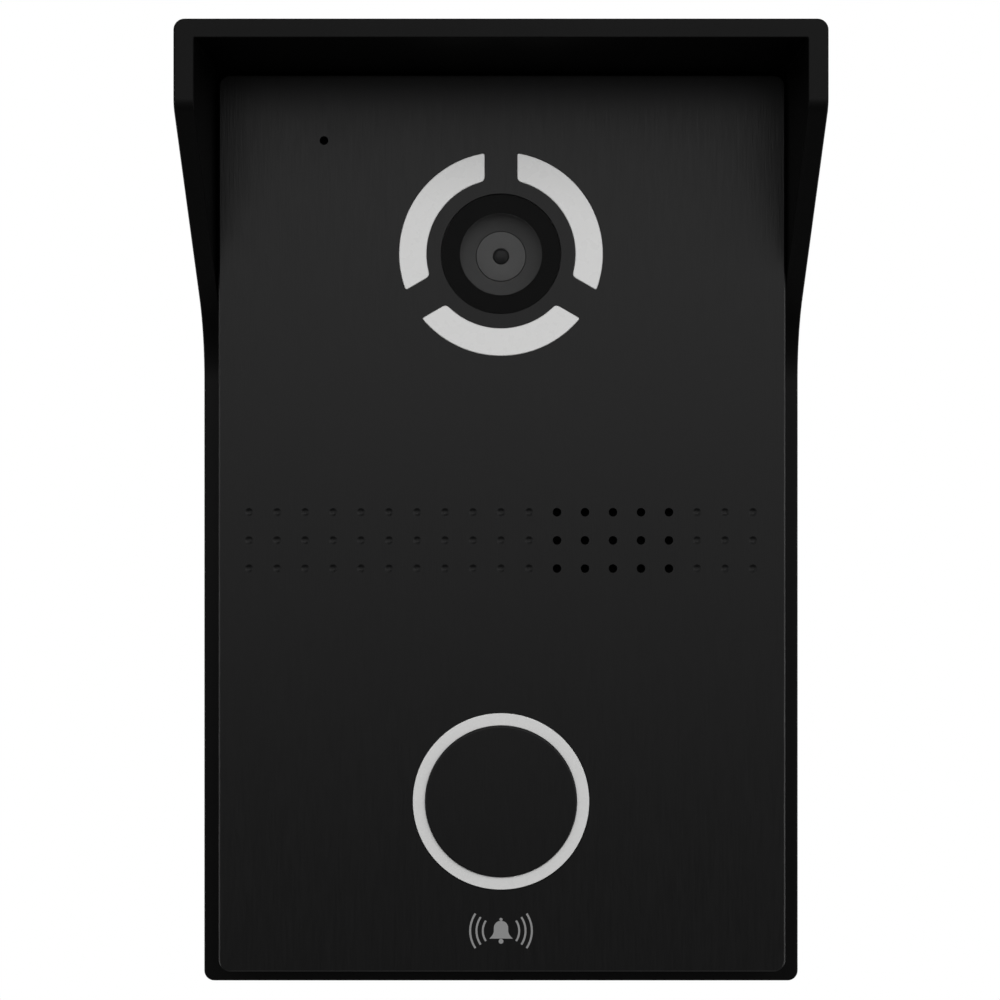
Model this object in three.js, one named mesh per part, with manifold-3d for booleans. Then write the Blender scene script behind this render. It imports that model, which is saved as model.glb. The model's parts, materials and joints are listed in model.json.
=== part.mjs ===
// Outdoor video door station in a one-piece rain hood, in millimetres.
// X is to the right, Z is up, and the wall is the plane Y = 0. The front looks along -Y,
// so most places are given as a depth: the distance out from the wall, where Y = -depth.
import * as THREE from 'three';
import { mergeVertices } from 'three/addons/utils/BufferGeometryUtils.js';
import Module from 'manifold-3d';

const wasm = await Module();
wasm.setup();

// ---------------------------------------------------------------- driving dimensions
const FIT = 0.3;                        // clearance between pieces that sit in each other
const TIGHT_FIT = 0.2;                  // clearance of the windows and the button in the faceplate
const EPS = 1;                          // how far a cutter runs past the face it opens

const PLATE_WIDTH = 99.0;               // brushed faceplate
const PLATE_HEIGHT = 156.1;
const PLATE_THICK = 3.0;
const PLATE_CORNER = 2.0;
const PLATE_FRONT = 40.0;               // depth of the faceplate's face
const PLATE_BACK = PLATE_FRONT - PLATE_THICK;
const BEHIND = PLATE_BACK - TIGHT_FIT;  // what is held against the faceplate's back starts here

const HOOD_WIDTH = 106.2;               // outside of the rain hood
const HOOD_HEIGHT = 163.6;
const HOOD_CORNER = 1.8;
const HOOD_SIDE_WALL = 3.3;
const HOOD_ROOF_WALL = 3.1;
const HOOD_BACK_WALL = 3.0;
const HOOD_FRONT = 64.2;                // depth of the roof's front edge
const HOOD_RIM = 30.4;                  // depth of the low rim beside the faceplate
const CHEEK_TOP = 67.6;                 // height where the 45 degree cheek meets the front edge
const CHEEK_FILLET = 20.0;              // blend from the cheek into the rim
const CHEEK_NOSE = 3.0;                 // blend from the cheek into the front edge

const HOUSING_GAP = 0.6;                // rear housing to the hood's inner walls
const HOUSING_WALL = 2.0;
const HOUSING_BACK = 6.4;               // depth of the housing's rear face
const GASKET_THICK = 0.9;
const GASKET_WIDTH = 1.8;
const HOUSING_FRONT = BEHIND - GASKET_THICK - TIGHT_FIT;

const CAMERA = [0, 46.9];               // x and z of the lens axis
const CAMERA_HOLE = 10.5;
const CAMERA_VIEW = 7.2;                // clear radius inside the window's black border
const GLASS_THICK = 1.4;
const GLASS_FRONT = PLATE_FRONT - 0.2;
const GLASS_BACK = GLASS_FRONT - GLASS_THICK;
const LENS_FACE = 36.5;                 // depth of the lens barrel's flat front
const LENS_RADIUS = 4.25;               // radius of that flat front
const LENS_OPENING = 1.7;               // the pinhole in it that the front element sits in
const BARREL_RADIUS = 6.1;
const BARREL_SHOULDER = 35.0;
const LIGHT_BOARD_FRONT = 34.6;
const ARC_OUTER = 17.74;                // the three light windows round the camera
const ARC_INNER = 12.96;
const ARC_GAP = 5.74;                   // width of the straight bars between them
const ARC_BARS = [90, 210, 330];        // where those bars point, in degrees

const BUTTON = [0, -48.4];              // x and z of the call button
const BUTTON_HOLE = 15.5;
const RING_OUTER = BUTTON_HOLE - TIGHT_FIT;
const RING_INNER = 13.25;
const CAP_RADIUS = RING_INNER - 0.15;
const CAP_PROUD = 0.5;                  // the cap stands this far out of the faceplate

const DOT_RADIUS = 0.73;                // sound holes and the blind dots in line with them
const DOT_PITCH = [4.87, 4.9];
const DOT_COLUMNS = 19;
const DOT_MIDDLE_ROW = -2.97;
const DOT_DEPTH = 0.5;
const SOUND_COLUMNS = [2, 6];           // columns, counted from the middle, that go through
const MIC = [-30.8, 66.6];
const SPEAKER = [4 * DOT_PITCH[0], DOT_MIDDLE_ROW];

const BOARD_THICK = 1.6;
const MAIN_BOARD_BACK = 19.0;
const MAIN_BOARD_FRONT = MAIN_BOARD_BACK + BOARD_THICK;
const BOARD_HALF = [44.5, 66.0];
const BOARD_SCREW_AT = [39.0, 60.0];
const HOUSING_SCREW_AT = [41.5, 70.8];
const BOSS_END = PLATE_BACK - 4;        // depth where the faceplate's screw bosses end
const COLUMN_TOP = BOSS_END - FIT;      // depth where the housing's screw columns end
const SCREW_SEAT = COLUMN_TOP - 3.3;    // depth of the shelf that a housing screw's head sits under
const BOARD_TAP_BACK = 12.5;            // how deep the board screws' posts are tapped
const CABLE_ENTRY = [0, -24.0];
const CABLE_HOLE = 11.0;
const CABLE_BORE = 5.0;
const HOOK_AT = [25.0, 68.0];
const SLOT_AT = [30.0, 55.0];           // wall screw slots in the hood's back
const SLOT_WIDTH = 4.5;
const SLOT_HEIGHT = 9.0;
const SECURITY_SCREW_DEPTH = 20.0;
const TERMINALS = [0, 8.0];

const FINE = 48;                        // sides of large, middling and small round shapes
const MIDDLE = 24;
const COARSE = 14;
const TINY = 8;

// ---------------------------------------------------------------- materials
const finishes = {
  anodised: ['#17181a', 0.42, 0.6],
  hood: ['#0e0f10', 0.55, 0.1],
  housing: ['#1a1b1c', 0.6, 0.0],
  silicone: ['#2a2b2c', 0.8, 0.0],
  diffuser: ['#d8d8d6', 0.5, 0.0],
  smokedGlass: ['#1b1c1e', 0.05, 0.0],
  lensBlack: ['#131416', 0.35, 0.0],
  lensGlass: ['#4a4f58', 0.03, 0.0],
  board: ['#1d4a33', 0.5, 0.0],
  chip: ['#202124', 0.45, 0.0],
  led: ['#f1ead2', 0.3, 0.0],
  steel: ['#a9acb0', 0.3, 1.0],
  blackSteel: ['#26272a', 0.35, 0.9],
  paper: ['#3a3a3c', 0.85, 0.0],
  foam: ['#2c2c2e', 0.95, 0.0],
  terminal: ['#2f7a4a', 0.5, 0.0],
  ribbon: ['#c9c4b4', 0.45, 0.0],
};

function material(name) {
  const [color, roughness, metalness] = finishes[name];
  return new THREE.MeshStandardMaterial({ name, color, roughness, metalness });
}

// ---------------------------------------------------------------- solids
function signedVolume(position, index) {
  const [a, b, c] = [new THREE.Vector3(), new THREE.Vector3(), new THREE.Vector3()];
  let sum = 0;
  for (let i = 0; i < index.length; i += 3) {
    a.fromBufferAttribute(position, index[i]);
    b.fromBufferAttribute(position, index[i + 1]);
    c.fromBufferAttribute(position, index[i + 2]);
    sum += a.dot(b.cross(c));
  }
  return sum;
}

// A closed three.js geometry as a solid that can be joined and cut.
function solid(geometry) {
  geometry.deleteAttribute('normal');
  geometry.deleteAttribute('uv');
  const merged = mergeVertices(geometry, 1e-4);
  const corners = Array.from(merged.index.array);
  const faces = [];
  for (let i = 0; i < corners.length; i += 3) {
    const [a, b, c] = corners.slice(i, i + 3);
    if (a !== b && b !== c && c !== a) faces.push([a, b, c]);
  }
  const inside = signedVolume(merged.attributes.position, faces.flat()) < 0;
  const triVerts = Uint32Array.from(faces.flatMap(([a, b, c]) => (inside ? [a, c, b] : [a, b, c])));
  const vertProperties = Float32Array.from(merged.attributes.position.array);
  return new wasm.Manifold(new wasm.Mesh({ numProp: 3, vertProperties, triVerts }));
}

function join(...solids) {
  return solids.reduce((whole, next) => whole.add(next));
}

function cut(body, ...cutters) {
  return cutters.reduce((whole, next) => whole.subtract(next), body);
}

// An outline in the X-Z plane, extruded between two depths.
function slab(points, backDepth, frontDepth) {
  const geometry = new THREE.ExtrudeGeometry(new THREE.Shape(points), {
    depth: frontDepth - backDepth, bevelEnabled: false,
  });
  return solid(geometry.translate(0, 0, backDepth).rotateX(Math.PI / 2));
}

// An outline of [depth, z] points, extruded along X between two x values.
function sideSlab(points, xFrom, xTo) {
  const shape = new THREE.Shape(points.map(([depth, z]) => new THREE.Vector2(depth, z)));
  const geometry = new THREE.ExtrudeGeometry(shape, { depth: xTo - xFrom, bevelEnabled: false });
  const toSide = new THREE.Matrix4().makeBasis(
    new THREE.Vector3(0, -1, 0), new THREE.Vector3(0, 0, 1), new THREE.Vector3(-1, 0, 0));
  return solid(geometry.applyMatrix4(toSide).translate(xTo, 0, 0));
}

// A profile of [radius, depth] points, turned round the axis through x, z that leaves the wall.
function turned([x, z], profile, sides = MIDDLE) {
  const onAxis = profile[0][0] === 0 && profile.at(-1)[0] === 0;
  const points = (onAxis ? profile : [...profile, profile[0]]).map(([r, d]) => new THREE.Vector2(r, d));
  return solid(new THREE.LatheGeometry(points, sides).rotateX(Math.PI).translate(x, 0, z));
}

function disc(at, radius, backDepth, frontDepth, sides = MIDDLE) {
  return turned(at, [[0, backDepth], [radius, backDepth], [radius, frontDepth], [0, frontDepth]], sides);
}

function washer(at, inner, outer, backDepth, frontDepth, sides = MIDDLE) {
  const profile = [[inner, backDepth], [outer, backDepth], [outer, frontDepth], [inner, frontDepth]];
  return turned(at, profile, sides);
}

function block([x, z], width, height, backDepth, frontDepth) {
  return slab(roundedRect(x - width / 2, x + width / 2, z - height / 2, z + height / 2, 0),
    backDepth, frontDepth);
}

// ---------------------------------------------------------------- outlines
function arcPoints([x, z], radius, fromDegrees, toDegrees, steps) {
  return Array.from({ length: steps + 1 }, (_, i) => {
    const angle = THREE.MathUtils.degToRad(fromDegrees + (toDegrees - fromDegrees) * i / steps);
    return new THREE.Vector2(x + radius * Math.cos(angle), z + radius * Math.sin(angle));
  });
}

function roundedRect(left, right, bottom, top, radius, steps = 5) {
  if (radius === 0) {
    return [[left, bottom], [right, bottom], [right, top], [left, top]].map((p) => new THREE.Vector2(...p));
  }
  const corners = [[right - radius, top - radius], [left + radius, top - radius],
    [left + radius, bottom + radius], [right - radius, bottom + radius]];
  return corners.flatMap((corner, i) => arcPoints(corner, radius, 90 * i, 90 * (i + 1), steps));
}

function centredRect(width, height, radius, steps) {
  return roundedRect(-width / 2, width / 2, -height / 2, height / 2, radius, steps);
}

// One light window: a ring sector whose ends are parallel to the bars on either side of it.
function arcWindow(inner, outer, gap, barIndex) {
  const start = ARC_BARS[barIndex];
  const end = start + 120;
  const inset = (radius) => THREE.MathUtils.radToDeg(Math.asin(gap / 2 / radius));
  return [
    ...arcPoints(CAMERA, outer, start + inset(outer), end - inset(outer), 16),
    ...arcPoints(CAMERA, inner, end - inset(inner), start + inset(inner), 12),
  ];
}

function fourCorners([x, z]) {
  return [[-x, z], [x, z], [-x, -z], [x, -z]];
}

// ---------------------------------------------------------------- hood and cable entry
// What is cut away in front of the cheeks, as [depth, z]: the low rim, a concave blend,
// the 45 degree cheek and the rounded nose below the front edge.
function cheekCutter() {
  const cheekFoot = CHEEK_TOP - (HOOD_FRONT - HOOD_RIM);
  const half = Math.tan(Math.PI / 8);
  const blendZ = cheekFoot - CHEEK_FILLET * half;
  const noseZ = CHEEK_TOP + CHEEK_NOSE * half;
  const blend = arcPoints([HOOD_RIM + CHEEK_FILLET, blendZ], CHEEK_FILLET, 180, 135, 8);
  const nose = arcPoints([HOOD_FRONT - CHEEK_NOSE, noseZ], CHEEK_NOSE, -45, 0, 4);
  const far = HOOD_FRONT + EPS;
  const outline = [...blend, ...nose].map((p) => [p.x, p.y]);
  return sideSlab([[HOOD_RIM, -HOOD_HEIGHT], ...outline, [far, noseZ], [far, -HOOD_HEIGHT]],
    -HOOD_WIDTH, HOOD_WIDTH);
}

function hook([x, z]) {
  const [root, lipBack, lipFront] = [HOOD_BACK_WALL - EPS, HOUSING_BACK + HOUSING_WALL + 0.5, 10.4];
  const stem = [[root, z - 0.5], [lipFront, z - 0.5], [lipFront, z + 2.3], [lipBack, z + 2.3],
    [lipBack, z + 1.5], [root, z + 1.5]];
  return sideSlab(stem, x - 5, x + 5);
}

function screwSlot([x, z]) {
  const [half, reach] = [SLOT_WIDTH / 2, SLOT_HEIGHT / 2];
  return slab(roundedRect(x - half, x + half, z - reach, z + reach, half, 4), -EPS, HOOD_BACK_WALL + EPS);
}

function hoodBracket() {
  const outer = slab(centredRect(HOOD_WIDTH, HOOD_HEIGHT, HOOD_CORNER), 0, HOOD_FRONT);
  const cavity = slab(centredRect(HOOD_WIDTH - 2 * HOOD_SIDE_WALL, HOOD_HEIGHT - 2 * HOOD_ROOF_WALL, 0),
    HOOD_BACK_WALL, HOOD_FRONT + EPS);
  const shell = cut(outer, cavity, cheekCutter());
  const hooks = [-1, 1].map((side) => hook([side * HOOK_AT[0], HOOK_AT[1]]));
  const slots = fourCorners(SLOT_AT).map(screwSlot);
  const entry = disc(CABLE_ENTRY, CABLE_HOLE, -EPS, HOOD_BACK_WALL + EPS);
  const bottom = -HOOD_HEIGHT / 2;
  const head = [[0, bottom - EPS], [3.2, bottom - EPS], [3.2, bottom + 1.6], [1.9, bottom + 1.6],
    [1.9, bottom + HOOD_ROOF_WALL + EPS], [0, bottom + HOOD_ROOF_WALL + EPS]];
  return cut(join(shell, ...hooks), ...slots, entry, upright(head, COARSE));
}

// A profile of [radius, z] points turned round the upright axis of the security screw.
function upright(profile, sides) {
  const points = profile.map(([r, z]) => new THREE.Vector2(r, z));
  const geometry = new THREE.LatheGeometry(points, sides).rotateX(Math.PI / 2);
  return solid(geometry.translate(0, -SECURITY_SCREW_DEPTH, 0));
}

function cableGrommet() {
  const groove = CABLE_HOLE - FIT;
  const lip = CABLE_HOLE + 1.4;
  return turned(CABLE_ENTRY, [
    [CABLE_BORE, 0.4], [groove, 0.4], [groove, HOOD_BACK_WALL + TIGHT_FIT],
    [lip, HOOD_BACK_WALL + TIGHT_FIT], [lip, HOOD_BACK_WALL + 1.4], [CABLE_BORE + 1.2, HOOD_BACK_WALL + 2.4],
    [CABLE_BORE, HOOD_BACK_WALL + 2.4],
  ]);
}

function securityScrew() {
  const bottom = -HOOD_HEIGHT / 2;
  return upright([[0, bottom + 0.9], [1.2, bottom + 0.9], [1.2, bottom + 0.15], [2.9, bottom + 0.15],
    [2.9, bottom + 1.4], [1.5, bottom + 1.4], [1.5, bottom + 10], [0, bottom + 10]], COARSE);
}

// ---------------------------------------------------------------- faceplate and housing
function faceplate() {
  const plate = slab(centredRect(PLATE_WIDTH, PLATE_HEIGHT, PLATE_CORNER), PLATE_BACK, PLATE_FRONT);
  const screws = fourCorners(HOUSING_SCREW_AT);
  const bosses = screws.map((at) => disc(at, 3.2, BOSS_END, PLATE_BACK + EPS, COARSE));
  const taps = screws.map((at) => disc(at, 1.65, BOSS_END - EPS, PLATE_BACK + 1.5, TINY));
  const through = [PLATE_BACK - EPS, PLATE_FRONT + EPS];
  const openings = [
    disc(CAMERA, CAMERA_HOLE, ...through, FINE),
    disc(BUTTON, BUTTON_HOLE, ...through, FINE),
    disc(MIC, DOT_RADIUS, ...through, TINY),
    ...ARC_BARS.map((_, i) => slab(arcWindow(ARC_INNER, ARC_OUTER, ARC_GAP, i), ...through)),
  ];
  const reach = (DOT_COLUMNS - 1) / 2;
  for (let column = -reach; column <= reach; column++) {
    for (const row of [-1, 0, 1]) {
      const at = [column * DOT_PITCH[0], DOT_MIDDLE_ROW + row * DOT_PITCH[1]];
      const sound = column >= SOUND_COLUMNS[0] && column <= SOUND_COLUMNS[1];
      const from = sound ? PLATE_BACK - EPS : PLATE_FRONT - DOT_DEPTH;
      openings.push(disc(at, DOT_RADIUS, from, PLATE_FRONT + EPS, sound ? TINY : TINY - 2));
    }
  }
  return cut(join(plate, ...bosses), ...taps, ...openings);
}

const housingWidth = HOOD_WIDTH - 2 * HOOD_SIDE_WALL - 2 * HOUSING_GAP;
const housingHeight = PLATE_HEIGHT - 0.7;

function faceplateGasket() {
  const outer = centredRect(housingWidth - 0.2, housingHeight - 0.2, 1.6, 3);
  const inner = centredRect(housingWidth - 2 * GASKET_WIDTH, housingHeight - 2 * GASKET_WIDTH, 0);
  return cut(slab(outer, HOUSING_FRONT + TIGHT_FIT, BEHIND),
    slab(inner, HOUSING_FRONT - EPS, BEHIND + EPS));
}

function rearHousing() {
  const floor = HOUSING_BACK + HOUSING_WALL;
  const outer = slab(centredRect(housingWidth, housingHeight, 1.6, 3), HOUSING_BACK, HOUSING_FRONT);
  const inside = centredRect(housingWidth - 2 * HOUSING_WALL, housingHeight - 2 * HOUSING_WALL, 0);
  const tub = cut(outer, slab(inside, floor, HOUSING_FRONT + EPS));
  const columns = fourCorners(HOUSING_SCREW_AT).map((at) => disc(at, 4.2, floor - 1, COLUMN_TOP, COARSE));
  const bores = fourCorners(HOUSING_SCREW_AT).flatMap((at) => [
    disc(at, 3.3, HOUSING_BACK - EPS, SCREW_SEAT, COARSE),
    disc(at, 1.8, floor, COLUMN_TOP + EPS, TINY),
  ]);
  const postTop = MAIN_BOARD_BACK - TIGHT_FIT;
  const posts = fourCorners(BOARD_SCREW_AT).map((at) => disc(at, 3, floor - 1, postTop, COARSE));
  const postTaps = fourCorners(BOARD_SCREW_AT)
    .map((at) => disc(at, 1.4, BOARD_TAP_BACK, postTop + EPS, TINY));
  const hookSlots = [-1, 1].map((side) => slab(
    roundedRect(side * HOOK_AT[0] - 6, side * HOOK_AT[0] + 6, HOOK_AT[1] - 1.8, HOOK_AT[1] + 1.8, 0),
    HOUSING_BACK - EPS, floor + EPS));
  const wiring = block(TERMINALS, 33, 13, HOUSING_BACK - EPS, floor + EPS);
  const bottom = -housingHeight / 2;
  const boss = upright([[0, bottom + 1], [3.5, bottom + 1], [3.5, bottom + 7], [0, bottom + 7]], COARSE);
  const tapped = upright([[0, bottom - EPS], [1.7, bottom - EPS], [1.7, bottom + 7 + EPS],
    [0, bottom + 7 + EPS]], TINY);
  return cut(join(tub, ...columns, ...posts, boss), ...bores, ...postTaps, ...hookSlots, wiring, tapped);
}

function housingScrew(at) {
  const [shank, head, drive] = [1.5, 2.9, 1.1];
  const [seat, tip] = [SCREW_SEAT - 0.1, PLATE_BACK + 1];
  return turned(at, [[0, seat - 1], [drive, seat - 1], [drive, seat - 2], [head, seat - 2],
    [head, seat], [shank, seat], [shank, tip], [0, tip]], COARSE);
}

function boardScrew(at) {
  const [shank, head, drive] = [1.2, 2.4, 0.8];
  const [seat, tip] = [MAIN_BOARD_FRONT + 0.1, BOARD_TAP_BACK + 0.7];
  return turned(at, [[0, tip], [shank, tip], [shank, seat], [head, seat], [head, seat + 1.4],
    [drive, seat + 1.4], [drive, seat + 0.7], [0, seat + 0.7]], COARSE);
}

// ---------------------------------------------------------------- camera and its lights
const windowRadius = CAMERA_HOLE - TIGHT_FIT;

// A funnel from the window down to the lens, with a flange behind the faceplate and a sleeve
// round the barrel.
function lensShroud() {
  const [mouth, flange, sleeve, neck] = [GLASS_BACK - 0.7, 11.6, BARREL_RADIUS + 0.5, LENS_RADIUS + FIT];
  const [flangeBack, sleeveBack] = [35.6, 31.0];
  return turned(CAMERA, [
    [CAMERA_VIEW + 0.2, mouth], [windowRadius, mouth], [windowRadius, BEHIND], [flange, BEHIND],
    [flange, flangeBack], [sleeve + 1.8, flangeBack], [sleeve + 1.8, sleeveBack], [sleeve, sleeveBack],
    [sleeve, BARREL_SHOULDER + FIT], [neck, BARREL_SHOULDER + FIT], [neck, LENS_FACE - 0.1],
  ]);
}

function lensBarrel() {
  const [tail, pocket] = [27.5, BARREL_SHOULDER + 0.2];
  return turned(CAMERA, [[0, tail], [BARREL_RADIUS, tail], [BARREL_RADIUS, BARREL_SHOULDER],
    [LENS_RADIUS, BARREL_SHOULDER], [LENS_RADIUS, LENS_FACE], [LENS_OPENING, LENS_FACE],
    [LENS_OPENING, pocket], [0, pocket]]);
}

function lensFrontElement() {
  const [foot, radius] = [BARREL_SHOULDER + 0.4, LENS_OPENING - 0.25];
  return turned(CAMERA, [[0, foot], [radius, foot], [radius, LENS_FACE], [0.85 * radius, LENS_FACE + 0.25],
    [0.5 * radius, LENS_FACE + 0.42], [0, LENS_FACE + 0.5]]);
}

function lensHolder() {
  const [back, front] = [23.7, 30.7];
  return cut(block(CAMERA, 15, 15, back, front), disc(CAMERA, BARREL_RADIUS + FIT, back - EPS, front + EPS));
}

// One moulding: a flat ring behind the faceplate with three raised windows.
function lightGuide() {
  const ring = washer(CAMERA, 11.9, ARC_OUTER + 1.2, BEHIND - 0.8, BEHIND, FINE);
  const windows = ARC_BARS.map((_, i) => slab(
    arcWindow(ARC_INNER + TIGHT_FIT, ARC_OUTER - TIGHT_FIT, ARC_GAP + 2 * TIGHT_FIT, i),
    BEHIND - 0.4, PLATE_FRONT - 0.1));
  return join(ring, ...windows);
}

function led(at, degrees, radius, backDepth) {
  const [width, height, thick] = [3.0, 2.8, 0.9];
  const [centre] = arcPoints(at, radius, degrees, degrees, 1);
  return block([centre.x, centre.y], width, height, backDepth, backDepth + thick);
}

// ---------------------------------------------------------------- call button and its switch
const BUTTON_BOARD_FRONT = 27.8;
const STEM_END = 31.4;                  // depth of the carrier's stem end, which presses the switch
const CARRIER_FRONT = 37.3;
const PLUNGER_RADIUS = 1.6;

function buttonCap() {
  const [foot, face, edge] = [CARRIER_FRONT + TIGHT_FIT, PLATE_FRONT + CAP_PROUD, 0.3];
  return turned(BUTTON, [[0, foot], [CAP_RADIUS, foot], [CAP_RADIUS, face - edge], [CAP_RADIUS - edge, face],
    [0, face]], FINE);
}

// The flange behind the faceplate stops the button from falling out of its hole.
function buttonLightRing() {
  const [flange, foot, stop] = [BUTTON_HOLE + 1.1, 35.2, 36.4];
  return turned(BUTTON, [[RING_INNER, foot], [flange, foot], [flange, stop],
    [RING_OUTER, stop], [RING_OUTER, PLATE_FRONT], [RING_INNER, PLATE_FRONT]], FINE);
}

function buttonCarrier() {
  const [stem, plate, foot] = [2.8, RING_INNER - 0.35, CARRIER_FRONT - 2.5];
  return turned(BUTTON, [[0, STEM_END], [stem, STEM_END], [stem, foot], [plate, foot],
    [plate, CARRIER_FRONT], [0, CARRIER_FRONT]]);
}

// A rubber diaphragm: a collar round the carrier's stem, a thin web and an upright wall outside.
function buttonSeal() {
  const [bore, collar, wall, outer] = [3.4, 4.4, 17.3, 18.3];
  const [foot, webBack, webFront] = [32.4, 33.0, 33.6];
  return turned(BUTTON, [[bore, foot], [collar, foot], [collar, webBack], [outer, webBack], [outer, BEHIND],
    [wall, BEHIND], [wall, webFront], [bore, webFront]]);
}

function switchBody() {
  const [size, front, pocketBack] = [6.2, 30.6, 28.4];
  return cut(block(BUTTON, size, size, BUTTON_BOARD_FRONT + TIGHT_FIT, front),
    disc(BUTTON, PLUNGER_RADIUS + FIT, pocketBack, front + EPS, COARSE));
}

// ---------------------------------------------------------------- sound
function speakerFrame() {
  return turned(SPEAKER, [[6, 29.9], [10.5, 29.9], [17.4, 33.7], [17.4, 35.1], [15.9, 35.1], [15.9, 34.0],
    [9.8, 30.7], [6, 30.7]]);
}

function speakerCone() {
  return turned(SPEAKER, [[0, 32.7], [3.3, 32.3], [6.0, 31.4], [14.4, 33.9], [15.4, 34.1], [15.4, 34.6],
    [14.2, 34.6], [6.0, 32.0], [3.5, 32.8], [0, 33.2]]);
}

function microphoneBoot() {
  const [sound, inner, outer] = [0.9, 3.3, 4.6];
  const [back, step] = [33.0, 35.9];
  return turned(MIC, [[sound, step], [sound, BEHIND], [outer, BEHIND], [outer, back], [inner, back],
    [inner, step]], COARSE);
}

// ---------------------------------------------------------------- electronics
function mainBoard() {
  const outline = centredRect(2 * BOARD_HALF[0], 2 * BOARD_HALF[1], 2, 3);
  const board = slab(outline, MAIN_BOARD_BACK, MAIN_BOARD_FRONT);
  const through = [MAIN_BOARD_BACK - EPS, MAIN_BOARD_FRONT + EPS];
  return cut(board, ...fourCorners(BOARD_SCREW_AT).map((at) => disc(at, 1.6, ...through, TINY)));
}

function terminalBlock() {
  const [ways, pitch] = [8, 3.81];
  const body = block(TERMINALS, 32, 12, HOUSING_BACK + 0.4, MAIN_BOARD_BACK - TIGHT_FIT);
  const holes = Array.from({ length: ways }, (_, i) => disc(
    [TERMINALS[0] + (i - (ways - 1) / 2) * pitch, TERMINALS[1] - 2.4], 1.1, HOUSING_BACK, 13, TINY));
  return cut(body, ...holes);
}

// A flat flexible lead: a strip of even thickness along a curve through [depth, z] points.
function ribbon(points, centreX, width) {
  const half = 0.2;
  const curve = new THREE.CatmullRomCurve3(points.map(([d, z]) => new THREE.Vector3(d, z, 0)));
  const along = Array.from({ length: 13 }, (_, i) => [curve.getPointAt(i / 12), curve.getTangentAt(i / 12)]);
  const edge = (side) => along.map(([p, t]) => [p.x - side * half * t.y, p.y + side * half * t.x]);
  return sideSlab([...edge(1), ...edge(-1).reverse()], centreX - width / 2, centreX + width / 2);
}

// ---------------------------------------------------------------- the assembly
const station = new THREE.Group();

function add(name, body, finish) {
  const { vertProperties, triVerts } = body.getMesh();
  const geometry = new THREE.BufferGeometry();
  geometry.setAttribute('position', new THREE.BufferAttribute(vertProperties, 3));
  geometry.setIndex(new THREE.BufferAttribute(triVerts, 1));
  geometry.computeVertexNormals();
  const mesh = new THREE.Mesh(geometry, material(finish));
  mesh.name = name;
  station.add(mesh);
}

add('hood_bracket', hoodBracket(), 'hood');
add('cable_grommet', cableGrommet(), 'silicone');
add('security_screw', securityScrew(), 'blackSteel');

add('faceplate', faceplate(), 'anodised');
add('faceplate_gasket', faceplateGasket(), 'silicone');
add('rear_housing', rearHousing(), 'housing');
fourCorners(HOUSING_SCREW_AT).forEach((at, i) => add(`housing_screw_${i + 1}`, housingScrew(at), 'steel'));

add('camera_window', disc(CAMERA, windowRadius, GLASS_BACK, GLASS_FRONT, FINE), 'smokedGlass');
const windowSeal = washer(CAMERA, 8, windowRadius, GLASS_BACK - 0.5, GLASS_BACK - 0.1, FINE);
add('camera_window_seal', windowSeal, 'silicone');
add('lens_shroud', lensShroud(), 'lensBlack');
add('lens_barrel', lensBarrel(), 'lensBlack');
add('lens_front_element', lensFrontElement(), 'lensGlass');
add('lens_holder', lensHolder(), 'lensBlack');
add('image_sensor', block(CAMERA, 8, 8, 23.6, 24.5), 'chip');
add('camera_board', block(CAMERA, 30, 30, 21.8, 23.4), 'board');
add('light_guide', lightGuide(), 'diffuser');
add('light_board', washer(CAMERA, 9, 20, LIGHT_BOARD_FRONT - 1.2, LIGHT_BOARD_FRONT), 'board');
[130, 170, 250, 290, 10, 50].forEach((degrees, i) => add(
  `light_led_${i + 1}`, led(CAMERA, degrees, (ARC_INNER + ARC_OUTER) / 2, LIGHT_BOARD_FRONT + 0.1), 'led'));

add('button_cap', buttonCap(), 'anodised');
add('button_light_ring', buttonLightRing(), 'diffuser');
add('button_carrier', buttonCarrier(), 'housing');
add('button_seal', buttonSeal(), 'silicone');
add('button_housing', washer(BUTTON, 18.6, 20.2, BUTTON_BOARD_FRONT + TIGHT_FIT, BEHIND), 'housing');
add('button_board', disc(BUTTON, 20, BUTTON_BOARD_FRONT - 1.4, BUTTON_BOARD_FRONT), 'board');
add('switch_body', switchBody(), 'blackSteel');
add('switch_plunger', disc(BUTTON, PLUNGER_RADIUS, 29.2, STEM_END - TIGHT_FIT, COARSE), 'chip');
[45, 135, 225, 315].forEach((degrees, i) => add(
  `button_led_${i + 1}`, led(BUTTON, degrees, 14.3, BUTTON_BOARD_FRONT + 0.1), 'led'));

add('acoustic_mesh', disc(SPEAKER, 13.5, BEHIND - 0.4, BEHIND), 'foam');
add('speaker_seal', washer(SPEAKER, 13.9, 17.4, 35.3, BEHIND), 'foam');
add('speaker_frame', speakerFrame(), 'blackSteel');
add('speaker_cone', speakerCone(), 'paper');
add('speaker_magnet', disc(SPEAKER, 9.5, 24.8, 29.7), 'steel');
add('microphone_boot', microphoneBoot(), 'silicone');
add('microphone', disc(MIC, 3.0, 33.4, 35.6, COARSE), 'steel');

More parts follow.
